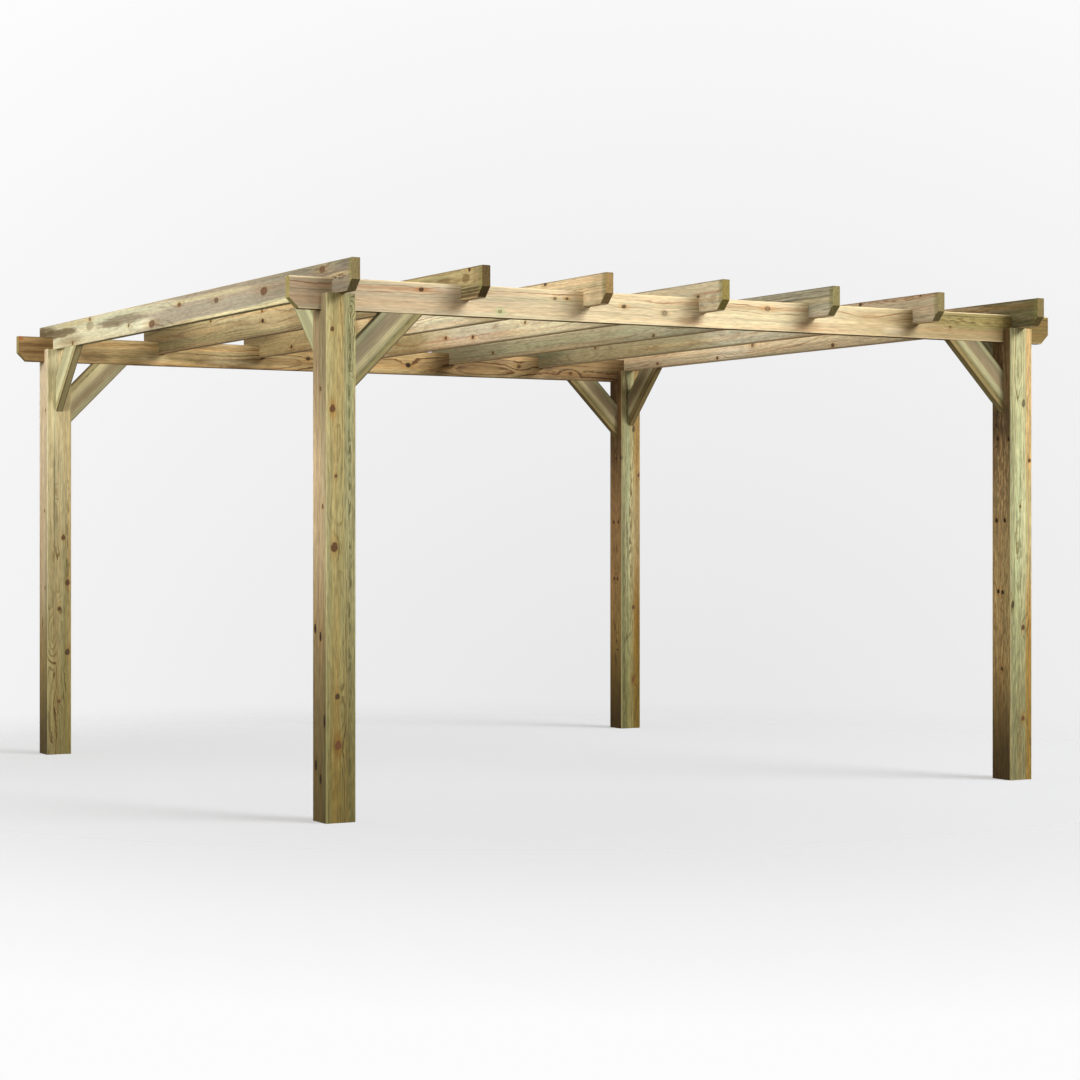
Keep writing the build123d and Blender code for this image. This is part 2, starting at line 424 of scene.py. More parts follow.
def finish_group():
    """The planed, green-treated surface: grain, knots, sawn ends, and painted light and shade on arrises and
    underside, as colour and height.
    """
    tree, given, out = group(
        "treated_surface",
        {"Place": "Vector", "Base": "Color", "Late tint": "Color", "Contrast": "Float", "Coarse": "Float",
         "Late wood": "Float", "Fibre": "Float", "Pores": "Float", "Zones": "Color", "Banding": "Float",
         "Heart": "Float", "Rim": "Float", "Resin": "Float", "Half size": "Vector", "End": "Float",
         "Cut": "Float", "End tone": "Color", "Arris": "Float", "Arris tone": "Color", "Under": "Float",
         "Under tone": "Color"},
        {"Color": "Color", "Roughness": "Float", "Height": "Float"})
    # Greener in one streak and tanner in the next
    zone = add(tree, "SeparateColor", {0: given["Zones"]}).outputs
    green = add(tree, "MapRange", {0: zone[0], **GREEN_STREAKS}, **SMOOTH).outputs[0]
    tan = add(tree, "MapRange", {0: zone[0], **TAN_STREAKS}, **SMOOTH).outputs[0]
    pale = add(tree, "MapRange", {0: zone[1], **PALE_STREAKS}).outputs[0]
    tone = add(tree, "Mix", {0: green, 6: UNTINTED, 7: GREEN_TINT}, **COLOURS).outputs[2]
    tone = add(tree, "Mix", {0: tan, 6: tone, 7: TAN_TINT}, **COLOURS).outputs[2]
    tone = add(tree, "VectorMath", {0: tone, "Scale": pale}, operation="SCALE").outputs[0]
    tone = add(tree, "Mix", {0: given["Banding"], 6: UNTINTED, 7: tone}, **COLOURS).outputs[2]
    shade = add(tree, "Mix", {0: 1.0, 6: given["Base"], 7: tone}, **TINTED).outputs[2]
    # Grain
    late = add(tree, "Math", {0: given["Late wood"], 1: given["Contrast"]}, operation="MULTIPLY").outputs[0]
    grain = add(tree, "Mix", {0: late, 6: UNTINTED, 7: given["Late tint"]}, **COLOURS).outputs[2]
    shade = add(tree, "Mix", {0: 1.0, 6: shade, 7: grain}, **TINTED).outputs[2]
    strands = add(tree, "MapRange", {0: given["Fibre"], **FIBRE_SHADES}).outputs[0]
    ducts = add(tree, "MapRange", {0: given["Pores"], **DUCT_SHADES}).outputs[0]
    strands = add(tree, "Math", {0: strands, 1: ducts}, operation="MULTIPLY").outputs[0]
    strands = add(tree, "Mix", {0: given["Coarse"], 2: 1.0, 3: strands}).outputs[0]
    shade = add(tree, "VectorMath", {0: shade, "Scale": strands}, operation="SCALE").outputs[0]
    # Knots
    resin = add(tree, "Mix", {0: given["Resin"], 6: UNTINTED, 7: RESIN_TINT}, **COLOURS).outputs[2]
    shade = add(tree, "Mix", {0: 1.0, 6: shade, 7: resin}, **TINTED).outputs[2]
    inputs = {0: given["Heart"], 6: shade, 7: linear(HEART_BROWN)}
    shade = add(tree, "Mix", inputs, **COLOURS).outputs[2]
    shade = add(tree, "Mix", {0: given["Rim"], 6: shade, 7: linear(RIM_BROWN)}, **COLOURS).outputs[2]
    # Sawn ends drink more of the treatment
    ended = add(tree, "Mix", {0: 1.0, 6: given["End tone"], 7: grain}, **TINTED).outputs[2]
    ended = add(tree, "VectorMath", {0: ended, "Scale": strands}, operation="SCALE").outputs[0]
    ended = add(tree, "VectorMath", {0: ended, "Scale": given["Cut"]}, operation="SCALE").outputs[0]
    shade = add(tree, "Mix", {0: given["End"], 6: shade, 7: ended}, **COLOURS).outputs[2]
    # Painted light on the arrises: a pale tone paints a highlight (posts, front beam), a dark one painted
    # shade (other boards)
    size = add(tree, "VectorMath", {0: given["Place"]}, operation="ABSOLUTE").outputs[0]
    room = add(tree, "VectorMath", {0: given["Half size"], 1: size}, operation="SUBTRACT").outputs[0]
    rooms = add(tree, "SeparateXYZ", {0: room}).outputs
    corner = add(tree, "Math", {0: rooms[1], 1: rooms[2]}, operation="MAXIMUM").outputs[0]
    arris_light_and_shade = add(tree, "MapRange", {0: corner, **ARRIS}, **SMOOTH).outputs[0]
    arris_light_and_shade = add(tree, "Math", {0: arris_light_and_shade, 1: given["Arris"]}, operation="MULTIPLY").outputs[0]
    shade = add(tree, "Mix", {0: arris_light_and_shade, 6: shade, 7: given["Arris tone"]}, **COLOURS).outputs[2]
    # Painted shading on the underside and the lowest edge: painted shade on the front beam, painted light on
    # rafters 2 to 7
    low = add(tree, "SeparateXYZ", {0: given["Place"]}).outputs[1]
    low = add(tree, "MapRange", {0: low, **LOWER_EDGE}).outputs[0]
    low = add(tree, "Math", {0: low, 1: given["Under"]}, operation="MULTIPLY").outputs[0]
    shade = add(tree, "Mix", {0: low, 6: shade, 7: given["Under tone"]}, **COLOURS).outputs[2]
    height = add(tree, "Math", {0: given["Late wood"], 1: given["Fibre"]}).outputs[0]
    height = add(tree, "Math", {0: height, 1: given["Rim"]}, operation="SUBTRACT").outputs[0]
    rough = add(tree, "MapRange", {0: given["Late wood"], **ROUGHNESS}).outputs[0]
    for label, socket in (("Color", shade), ("Roughness", rough), ("Height", height)):
        tree.links.new(socket, out.inputs[label])
    return tree


RINGS, KNOT, PATCH, FINISH = rings_group(), knot_group(), patch_group(), finish_group()


def run_of(name):
    """A timber's own coordinates: its start, then its length, its height and the way its seen face looks."""
    low, high = (Vector(corner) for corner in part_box(name))
    middle = (low + high) / 2
    if name.endswith("_post"):
        return Vector((middle.x, middle.y, 0)), UP, LEFT, FRONT
    if name.endswith("_beam"):
        return middle, -LEFT, UP, FRONT
    if name.startswith("rafter_"):
        return middle, FRONT, UP, LEFT
    if name.endswith("_beam_brace"):
        out = FRONT
        along = UP - LEFT if "_left_" in name else -UP - LEFT
    else:
        out = LEFT
        along = FRONT - UP if name.startswith("front_") else FRONT + UP
    along = along.normalized()
    across = out.cross(along)
    half_depth = BRACE_DEPTH * MILLIMETRE / 2
    return middle + across * half_depth, along, across, out


def half_size(name):
    """Half of a timber's section in millimetres, its length left free."""
    if name.endswith("_post"):
        return ENDLESS, POST_SIDE / 2, POST_SIDE / 2
    if name.endswith("_brace"):
        return ENDLESS, BRACE_DEPTH / 2, BRACE_THICKNESS / 2
    return ENDLESS, BOARD_DEPTH / 2, BOARD_THICKNESS / 2


def treated_pine(name, timber):
    """Planed softwood, pressure-treated: yellow-green sapwood, tan where heartwood shows, matt and dry."""
    paint = material("pressure_treated_pine_" + name)
    tree = paint.node_tree
    start, along, across, out = run_of(name)
    coordinates = add(tree, "TexCoord").outputs
    turn = Matrix((along, across, out)).transposed().to_euler()
    scale = (MILLIMETRE, MILLIMETRE, MILLIMETRE)
    inputs = {"Vector": coordinates["Object"], "Location": start, "Rotation": turn, "Scale": scale}
    place = add(tree, "Mapping", inputs, vector_type="TEXTURE").outputs[0]
    parts = add(tree, "SeparateXYZ", {0: place}).outputs
    side = add(tree, "CombineXYZ", {0: parts[0], 1: parts[2], 2: parts[1]}).outputs[0]
    depth = POST_KNOT_DEPTH if name.endswith("_post") else BOARD_KNOT_DEPTH
    marks = {"Lift": 0.0, "Heart": 0.0, "Rim": 0.0, "Resin": 0.0}
    for on_side, mark in timber["knots"]:
        inputs = {**marks, **mark, "Place": side if on_side else place, "Depth": depth}
        made = add(tree, "Group", inputs, node_tree=KNOT).outputs
        marks = {label: made[label] for label in marks}
    base = linear(timber["base"])
    for spot in timber["patches"]:
        base = add(tree, "Group", {**spot, "Base": base, "Place": place}, node_tree=PATCH).outputs["Base"]
    way, calm, lively = timber["lively"]
    inputs = {"Place": place, "Pith": (0, *timber["pith"]), "Ring width": timber["ring"],
              "Early": timber["early"], "Bend": timber["bend"], "Lift": marks["Lift"], "Seed": timber["seed"],
              "Lively way": way, "Calm": calm, "Lively": lively}
    grain = add(tree, "Group", inputs, node_tree=RINGS).outputs
    inputs = {0: coordinates["Normal"], 1: along}
    facing = add(tree, "VectorMath", inputs, operation="DOT_PRODUCT").outputs["Value"]
    facing = add(tree, "Math", {0: facing}, operation="ABSOLUTE").outputs[0]
    end = add(tree, "MapRange", {0: facing, **END_FACE}).outputs[0]
    cut = add(tree, "MapRange", {0: facing, **TAIL_CUT}).outputs[0]
    inputs = {"Place": place, "Base": base, "Late tint": (*timber["late"], 1), "Contrast": timber["contrast"],
              "Coarse": timber["coarse"], "Banding": timber["banding"], "Half size": half_size(name),
              "End": end, "Cut": cut, "End tone": linear(timber["end"]), "Arris": timber["arris"],
              "Arris tone": linear(timber["arris_tone"]), "Under": timber["under"],
              "Under tone": linear(timber["under_tone"])}
    inputs.update({label: grain[label] for label in ("Late wood", "Fibre", "Pores", "Zones")})
    inputs.update({label: marks[label] for label in ("Heart", "Rim", "Resin")})
    finish = add(tree, "Group", inputs, node_tree=FINISH).outputs
    inputs = {"Height": finish["Height"], "Strength": BUMP_STRENGTH, "Distance": BUMP_DEPTH}
    bump = add(tree, "Bump", inputs).outputs[0]
    inputs = {"Base Color": finish["Color"], "Roughness": finish["Roughness"], "Normal": bump,
              "Specular IOR Level": SPECULAR_LEVEL}
    pine = add(tree, "BsdfPrincipled", inputs).outputs[0]
    add(tree, "OutputMaterial", {"Surface": pine})
    return paint


# ---------------------------------------------------------------- what each timber shows, in millimetres

THROUGH = 1e5     # a patch this wide or deep has no edge that way
POST_FACE = 62    # a patch on one face of a post has its centre just outside it
SKIN = 4          # and reaches only this deep
BAND_HEIGHT = 200

# Boards: the dark arris_tone paints shade along the arrises; the pale under_tone, used where under is set,
# paints light on the underside
SOUND_PINE = {
    "pith": (-150.0, -30.0), "ring": 9.0, "bend": 40.0, "contrast": 0.9, "late": (0.36, 0.25, 0.14),
    "early": 0.55, "banding": 0.6, "coarse": 0.6, "end": "#8b7d4c", "arris": 0.55, "arris_tone": "#55432a",
    "under": 0.0, "under_tone": "#d9bf95", "lively": ((0, 0, 0), -1.0, 0.0), "knots": (), "patches": ()}


def look(base, seed, **own):
    """A timber's looks: sound pine with a base colour and a grain of its own.

    pith is where the heart of the log lies across the section, ring a year's width, and bend how far the
    trunk wanders. contrast, late and early say how strong and dark the late wood is and when it starts,
    banding and coarse how much the treatment and the fibres show. end is the sawn ends. arris and arris_tone
    are painted light on the long edges: a pale tone paints a highlight, a dark one paints shade. under and
    under_tone are painted shading on the underside and the lower edge. lively is the way in which the grain
    grows lively, and from where to where.
    """
    return {**SOUND_PINE, "base": base, "seed": seed, **own}


def knot(x, y, radius, red=0.6, dead=0.6, resin=0.5, stretch=1.2, swell=12.0, side=False):
    """Whether a knot is on a post's left face, and the knot, x along the timber and y across it."""
    return side, {"Centre": (x, y, 0), "Size": (radius * stretch, radius, 1), "Swell": swell, "Red": red,
                  "Dead": dead, "Stained": resin}


def eye(x, y, radius, swell=8.0, dark=0.0, stretch=2.4):
    """Rings that close on themselves, with no knot inside."""
    return knot(x, y, radius, 0, dark, 0.15, stretch, swell)


def patch(x, y, long, high, tone, strength=0.7, soft=0.4, ragged=0.5, broken=0.0, z=0.0, deep=THROUGH):
    """A patch of other colour, right through the timber unless z and deep keep it to one face."""
    return {"Centre": (x, y, z), "Size": (long, high, deep), "Tone": linear(tone), "Strength": strength,
            "Soft": soft, "Ragged": ragged, "Broken": broken}


def band(x, long, tone, strength=0.7, soft=0.4, ragged=0.5):
    """A patch over the timber's whole height."""
    return patch(x, 0, long, BAND_HEIGHT, tone, strength, soft, ragged)


def front_face(x, y, long, high, tone, strength=0.7, soft=0.4, ragged=0.5):
    """A patch on the front face of a post only."""
    return patch(x, y, long, high, tone, strength, soft, ragged, z=POST_FACE, deep=SKIN)


def left_face(x, long, tone, strength=0.9, soft=0.3, ragged=0.1, broken=0.0, z=0, wide=THROUGH):
    """A patch on the left face of a post only."""
    return patch(x, POST_FACE, long, SKIN, tone, strength, soft, ragged, broken, z, wide)


def painted_foot_shade(long=700, strength=0.75):
    """Painted shade near the ground: a post darkens toward its foot."""
    return patch(0, 0, long, 300, "#5d4f14", strength, 0.9, 0.1)


def painted_left_foot_shade(long, strength):
    """The same painted shade on a post's left face, stronger there."""
    return left_face(0, long, "#2e1f08", strength, 0.8)


# A pale arris_tone (the posts, the front beam) paints a highlight along the arrises; the boards' default dark
# one paints shade there
LOOKS = {
    "front_beam": look(
        "#d8c8a3", 1.0, pith=(-60, -90), ring=8, bend=18, contrast=1.5, late=(0.50, 0.31, 0.20), early=0.62,
        # The pale arris_tone paints a highlight along the arrises; the dark under_tone paints shade on the
        # underside
        banding=0.4, coarse=0.5, end="#8f8450", arris=0.6, arris_tone="#f2dcae", under=0.9,
        under_tone="#4d4220", lively=((0, 1, 0), -5.0, 38.0),
        knots=(knot(-1261, 33, 9, 0.15, 0.9, 0.8, swell=7), knot(-924, -35, 8, 0.2, 0.5, 0.2, swell=5),
        knot(-682, 26, 7, 0.1, 0.75, 0.5, swell=4), knot(-628, 28, 6, 0.8, 0.3, 0.9, swell=3),
        knot(-369, 9, 9, 0.1, 0.85, 0.7, swell=7), knot(-180, -9, 11, 0.2, 0.5, 0.2, swell=8),
        eye(-180, 16, 9, 9), knot(316, 31, 12, 0.1, 0.6, 0.6, swell=8), eye(832, 21, 12, 18),
        eye(-1691, 26, 7, 6), knot(1259, -6, 6, 0.3, 0.6, 0.6)),
        # The pale patch at 400 and the darker ones at both ends (-1800, -1850, 1550, 1850) are partly the
        # timber's own tone, partly painted light: a falloff from the middle toward the ends
        patches=(patch(400, 0, 700, 300, "#e4d2aa", 0.8, 0.7), patch(-1800, 0, 900, 300, "#bead90", 0.8, 0.5),
        band(-1850, 260, "#867359", 0.75, 0.6), patch(-924, -35, 24, 17, "#bcc096", 0.9, 0.3, 0.2),
        patch(-180, -9, 24, 15, "#b9ab88", 0.7, 0.4, 0.2), patch(-1240, 33, 300, 7, "#a9744c", 0.5, 0.6, 0.9),
        patch(250, 30, 420, 7, "#b98254", 0.45, 0.6, 0.9), patch(832, 21, 46, 8, "#a57349", 0.5, 0.5, 0.3),
        patch(900, -15, 220, 60, "#c6ab76", 0.45, 0.6), patch(1550, 0, 600, 300, "#a08a60", 0.9, 0.5),
        patch(1440, 24, 300, 34, "#89824a", 0.75, 0.35, 0.5),
        patch(1440, 22, 320, 16, "#57471f", 0.45, 0.4, 0.5, broken=1.0),
        patch(1470, 24, 320, 16, "#cbbd83", 0.3, 0.4, 0.5, broken=1.0), band(1850, 280, "#73602f", 0.85, 0.6),
        # The dark patch at 520 is a painted shadow of a rafter tail; the pale patch at -1125 is painted light
        # over part of rafter 2's cast shadow
        patch(960, -32, 60, 20, "#ead9b4", 0.6, 0.5), patch(520, -30, 60, 24, "#b78c60", 0.5, 0.6),
        patch(-60, -36, 60, 14, "#bd9468", 0.5, 0.5), patch(-1125, 42, 70, 20, "#f2e6c8", 0.6, 0.6),
        patch(600, -36, 120, 18, "#c2a276", 0.45, 0.6))),
    "rear_beam": look(
        "#ab9364", 2.0, pith=(-20, -90), ring=7, bend=50, contrast=1.9, late=(0.30, 0.19, 0.10), early=0.5,
        banding=0.6, coarse=0.75, lively=((1, 0, 0), -1100.0, -300.0),
        knots=(knot(-288, 3, 11, 0.4, 0.9, swell=4), knot(280, -11, 13, 0.3, 1.0, swell=12), knot(939, 3, 10),
        knot(1257, -22, 10)),
        # The dark band at 560 is a painted shadow next to rafter 5
        patches=(band(300, 240, "#c4ad7c", 0.4, 0.7), band(560, 150, "#6f5836", 0.75, 0.6),
        band(-690, 110, "#c8b384", 0.7, 0.6), band(1400, 700, "#6a5336", 0.75, 0.6),
        band(-1750, 240, "#7a5c34", 0.7, 0.6), patch(-1760, 22, 230, 9, "#4a3418", 0.6, 0.5, 0.6),
        patch(-1700, -14, 200, 7, "#4a3418", 0.6, 0.5, 0.6), patch(-1795, 50, 16, 10, "#8a3c10", 0.7, 0.5),
        patch(-900, 40, 800, 8, "#6d5632", 0.5, 0.6, 0.5), patch(-700, -20, 900, 9, "#7b6138", 0.4, 0.6, 0.5),
        band(960, 110, "#c3ab7d", 0.65, 0.6), band(1425, 60, "#86704c", 0.6, 0.6),
        patch(-1125, -28, 70, 26, "#cdb488", 0.7, 0.5), patch(-1425, -28, 70, 26, "#5e4626", 0.6, 0.5),
        patch(-720, -28, 100, 26, "#d8c598", 0.6, 0.6), patch(-525, -28, 60, 26, "#77613a", 0.6, 0.6),
        patch(1725, -24, 90, 34, "#463420", 0.35, 0.6), patch(1290, 12, 170, 34, "#a78d60", 0.4, 0.6),
        patch(110, -46, 250, 14, "#b59a6a", 0.6, 0.6))),
    "rafter_1": look(
        "#bbb697", 3.0, pith=(0, -90), ring=6.5, bend=50, contrast=1.15, banding=0.35, early=0.55,
        # A milder arris_tone: lighter painted shade along the arrises
        lively=((1, 0, 0), -900.0, -250.0), end="#7c6f47", arris=0.35, arris_tone="#8a7c56",
        knots=(knot(992, 4, 17, 0.8, 0.4, 0.35, 2.2, 8), knot(496, 8, 12, 0.4, 0.7, 0.4, 2.0, 7),
        knot(80, 24, 11, 0.8, 0.3, 0.5, 2.0), knot(1543, 38, 13, 0.7, 0.3, 0.5, 2.0),
        knot(-248, -33, 17, 0.8, 0.4, 0.5, 2.4), knot(-1061, 49, 10, 0.4, 0.6, stretch=2.0),
        knot(-539, -19, 9), knot(-1303, -47, 11)),
        patches=(patch(700, 0, 1120, 300, "#8b816f", 0.9, 0.1, 0.2),
        patch(1300, 0, 400, 300, "#7d735e", 0.5, 0.6, 0.3),
        patch(650, -57, 700, 11, "#c4bc92", 0.8, 0.5, 0.35),
        patch(1180, -54, 240, 16, "#c8c096", 0.85, 0.5, 0.35),
        patch(1720, 0, 280, 300, "#716655", 0.75, 0.5, 0.4),
        patch(420, 34, 460, 9, "#c2b488", 0.55, 0.5, 1.0), patch(1700, 6, 120, 8, "#b5a780", 0.6, 0.5, 0.8),
        patch(-600, 12, 330, 24, "#7c6f58", 0.85, 0.25, 0.9),
        patch(-760, 2, 120, 16, "#75684f", 0.7, 0.3, 0.9), patch(-1060, 18, 50, 26, "#85775a", 0.7, 0.4, 0.8),
        patch(-1540, 10, 290, 22, "#5f5238", 0.9, 0.25, 0.9),
        patch(-1780, 20, 60, 200, "#5f5238", 0.7, 0.5, 0.5),
        patch(-1700, 34, 130, 22, "#5a4a2c", 0.85, 0.5, 0.6),
        patch(-1340, -34, 160, 24, "#8f8260", 0.7, 0.5, 0.6),
        patch(-220, 34, 230, 24, "#d0c9a6", 0.45, 0.5, 0.4),
        patch(-350, -26, 110, 24, "#dcd8b8", 0.6, 0.5, 0.5),
        patch(-1290, 44, 240, 16, "#a08f60", 0.5, 0.6, 0.3), patch(1560, 42, 120, 18, "#a5997c", 0.5, 0.6))),
    "rafter_2": look(
        "#a7976b", 4.0, pith=(25, -85), ring=6, bend=50, contrast=1.3, late=(0.30, 0.20, 0.11), early=0.5,
        end="#5c4a26", under=0.6,
        knots=(knot(1699, 51, 9, 0.2, 0.9), knot(-295, 51, 10, 0.9, 0.3, swell=5),
        knot(-287, 5, 11, 0.1, 1.0, swell=5), knot(-907, 49, 9, 0.9, 0.3)),
        patches=(band(-900, 1700, "#a08c64", 0.8), band(-1500, 350, "#665638", 0.7, 0.6),
        patch(1670, 20, 30, 18, "#6e5a33", 0.8, 0.35, 0.5), patch(1480, 24, 60, 12, "#75613a", 0.7, 0.4, 0.6),
        patch(1700, -22, 150, 5, "#3d2c12", 0.8, 0.4, 0.7),
        patch(1690, -34, 150, 5, "#3d2c12", 0.8, 0.4, 0.7),
        patch(1690, -47, 150, 6, "#3d2c12", 0.75, 0.4, 0.7),
        patch(1500, -10, 200, 5, "#5a451f", 0.7, 0.4, 0.7), patch(-450, 28, 480, 42, "#b4a47c", 0.8, 0.6),
        patch(-1680, 20, 260, 60, "#5d4d2d", 0.7, 0.6), patch(-150, -26, 150, 30, "#c4b186", 0.6, 0.6),
        band(1765, 40, "#5e4d2e", 0.4, 0.5), patch(220, -24, 70, 40, "#6d5a38", 0.7, 0.6))),
    "rafter_3": look(
        "#e0c89d", 5.0, pith=(-60, -90), ring=6, bend=40, contrast=1.1, late=(0.45, 0.28, 0.18), early=0.5,
        end="#957c4c", under=0.6,
        knots=(knot(1330, 55, 10, 0.2, 0.9), knot(-1195, -32, 11, 0.2, 0.9)),
        # The pale band at 380 is painted light on the inner face, which lies in shade there
        patches=(band(-900, 1700, "#927c4e", 0.85), band(380, 340, "#e8dcba", 0.9, 0.6),
        patch(1745, 0, 60, 100, "#b8a581", 0.7, 0.6), patch(-1640, 34, 300, 30, "#5e5032", 0.7, 0.6),
        patch(-375, 24, 60, 36, "#d0bf97", 0.6, 0.6), band(-120, 110, "#755f36", 0.6, 0.6),
        patch(-975, 30, 70, 30, "#6a5632", 0.6, 0.6))),
    "rafter_4": look(
        "#bfb698", 6.0, pith=(5, -95), ring=7, bend=60, contrast=1.0, late=(0.42, 0.27, 0.17), early=0.55,
        end="#8b7c41", under=0.6,
        knots=(knot(1623, 2, 9, 0.2, 0.9), knot(-587, -10, 10, 0.3, 0.8, 0.9),
        knot(-310, -24, 10, 0.3, 0.8, 0.9), knot(195, 7, 9)),
        patches=(band(-900, 1700, "#cab48e", 0.85), patch(-300, -20, 700, 5, "#a06440", 0.6, 0.5, 0.7),
        patch(1710, 14, 120, 5, "#a3693f", 0.5, 0.5, 0.8),
        # The pale band at 400 is painted light on the inner face, which lies in shade there
        patch(1710, -28, 110, 26, "#5f523e", 0.3, 0.5, 0.5, broken=1.0), band(400, 340, "#eee1ba", 0.85, 0.6),
        band(-280, 250, "#d9d0ba", 0.5, 0.7), band(-1040, 230, "#9a8554", 0.8, 0.6),
        patch(-1275, -20, 60, 40, "#cdb88c", 0.5, 0.6), patch(-640, -4, 60, 6, "#b07e58", 0.4, 0.5, 0.5))),
    "rafter_5": look(
        "#b2a890", 7.0, pith=(0, -60), ring=7, bend=40, contrast=0.75, early=0.5, coarse=0.75, end="#887f50",
        under=0.6,
        knots=(knot(428, -48, 9), knot(-1108, -30, 10)),
        patches=(band(-900, 1700, "#aca07c", 0.85), patch(1500, 44, 600, 10, "#919178", 0.7, 0.5, 0.3),
        patch(1500, 22, 420, 4, "#5e563e", 0.8, 0.5, 0.3), patch(1640, 6, 300, 13, "#b7a47e", 0.7, 0.5, 0.4),
        # The pale band at 420 is painted light on the inner face, which lies in shade there
        band(-1560, 470, "#7c7152", 0.9, 0.7), band(420, 300, "#bab594", 0.7, 0.6),
        patch(1725, -30, 60, 30, "#cdc4a8", 0.5, 0.6))),
    "rafter_6": look(
        "#c4b192", 8.0, pith=(-10, -85), ring=7, bend=60, contrast=0.9, late=(0.42, 0.27, 0.17), early=0.55,
        coarse=0.7, end="#83774d", under=0.6,
        knots=(knot(1266, 50, 9, 0.2, 0.9), knot(1684, 54, 5, 0.2, 0.9), knot(-431, 32, 10, 0.4, 0.7, 0.9),
        knot(-998, 9, 10)),
        patches=(band(-900, 1700, "#b1a77f", 0.85),
        patch(1560, 50, 300, 9, "#7c5d3d", 0.7, 0.5, 0.7, broken=0.7),
        patch(-300, 20, 700, 5, "#8c5f3c", 0.6, 0.5, 0.7), patch(1700, -40, 120, 20, "#b3ab8c", 0.6, 0.6),
        band(-1620, 360, "#6d6548", 0.95, 0.7), band(-800, 420, "#a5956e", 0.85, 0.6),
        # The pale band at 400 is painted light on the inner face, which lies in shade there
        band(400, 330, "#e2d8ba", 0.9, 0.6))),
    "rafter_7": look(
        "#69623f", 9.0, pith=(15, -85), ring=7, bend=60, contrast=0.9, early=0.5, end="#7b6c41", under=0.6,
        knots=(knot(-1252, -40, 10), knot(-673, -45, 10), knot(-354, 0, 10), knot(327, -45, 11)),
        patches=(band(-900, 2000, "#e9d3ac", 0.9),
        patch(1660, -34, 150, 12, "#37301a", 0.5, 0.5, 0.7, broken=0.6),
        patch(1550, 36, 260, 7, "#8b6f3f", 0.6, 0.5, 0.5), patch(1560, 12, 260, 6, "#574a28", 0.6, 0.5, 0.5),
        band(-1440, 320, "#bca988", 0.9, 0.7), patch(-560, -30, 170, 30, "#f4e8cc", 0.6, 0.6))),
    "front_left_post": look(
        "#9f9261", 11.0, pith=(20, 0), ring=5, bend=50, contrast=1.6, coarse=0.8, arris=0.2,
        arris_tone="#c9c68e", lively=((0, -1, 0), -30.0, 15.0),
        knots=(knot(1816, 35, 8, 0.9, 0.5), knot(1524, 34, 12, 0.95, 0.4, 1.0), knot(1276, 21, 6, 0.8, 0.5),
        knot(1015, 26, 15, 0.95, 0.45, 0.6), knot(465, 14, 10, 0.3, 0.9), knot(286, 11, 14, 1.0, 0.1, 0.9),
        eye(1890, -34, 8, 28, 0.3, 1.3), eye(1805, -35, 7, 26, 0.3, 1.4), eye(1745, -34, 7, 26, 0.3, 1.2),
        eye(1680, -35, 7, 24, 0.3, 1.4), knot(1598, 10, 8, side=True), knot(1164, 29, 9, side=True),
        knot(713, -37, 10, 0.1, 1.0, stretch=1.8, side=True),
        knot(685, 10, 10, 0.1, 1.0, stretch=1.8, side=True), knot(376, 45, 9, 0.1, 1.0, stretch=3, side=True),
        knot(208, -32, 11, 0.1, 1.0, stretch=1.8, side=True),
        knot(160, 10, 10, 0.1, 1.0, stretch=1.8, side=True)),
        patches=(patch(1000, -44, 3000, 38, "#95946c", 0.8, 0.3, 0.6),
        patch(1000, 58, 3000, 16, "#a19e72", 0.8, 0.3, 0.5), left_face(1000, 3000, "#b2a07c"),
        left_face(1100, 900, "#b8a07d", 0.8, 0.5, 0.4, z=-22, wide=50),
        # Painted shadow at the top of the left face, below the beam and brace; painted shade lower on it
        # (650) and toward the foot on both faces
        left_face(1850, 420, "#715f41", 0.8, 0.6), left_face(650, 260, "#8f7853", 0.5, 0.8), painted_foot_shade(),
        painted_left_foot_shade(550, 0.5), patch(1500, -34, 420, 6, "#56522f", 0.7, 0.4, 0.5, broken=1.0),
        patch(700, -36, 900, 7, "#55502c", 0.7, 0.4, 0.5, broken=1.0),
        front_face(1000, 2, 620, 16, "#7e8157", 0.5, 0.6, 0.5))),
    "rear_left_post": look(
        "#b5ab83", 12.0, pith=(28, -5), ring=5, bend=50, contrast=1.7, coarse=0.7, arris=0.2,
        arris_tone="#c9c68e", lively=((-1, 0, 0), -1500.0, -500.0),
        knots=(knot(1263, 17, 6, 0.0, 0.4), knot(1044, -20, 11, 0.9, 0.5), knot(700, 1, 9, 0.5, 0.8),
        knot(827, -41, 12, 0.9, 0.6, swell=17), knot(492, -41, 13, 0.6, 0.8, swell=17),
        knot(255, 1, 8, 0.8, 0.5), eye(950, 29, 14, 12), eye(627, 29, 14, 12), eye(230, 28, 10, 10),
        eye(60, -48, 12, 10), eye(380, -8, 9, 12), eye(560, 36, 9, 12), knot(1656, 32, 8, side=True),
        knot(1172, 17, 8, side=True), knot(802, 26, 9, side=True)),
        patches=(patch(950, 29, 30, 6, "#5b4a2a", 0.6, 0.5, 0.5),
        # The foot patches and the dark left-face patch at 400 are painted shade toward the ground
        patch(650, 0, 500, 300, "#9a8a5a", 0.35, 0.7, 0.2), left_face(1000, 3000, "#bbaa8e"), painted_foot_shade(1000, 0.6),
        painted_foot_shade(330, 0.45), left_face(400, 270, "#7a6638", 0.7, 0.6), painted_left_foot_shade(300, 0.7),
        patch(1300, -48, 900, 14, "#bba06e", 0.5, 0.5, 0.6),
        patch(1000, -42, 400, 9, "#5d4d2b", 0.6, 0.4, 0.5, broken=1.0),
        patch(1240, 25, 260, 4, "#5d4d2b", 0.7, 0.4, 0.3),
        front_face(350, 44, 330, 14, "#bfae76", 0.25, 0.6, 0.4),
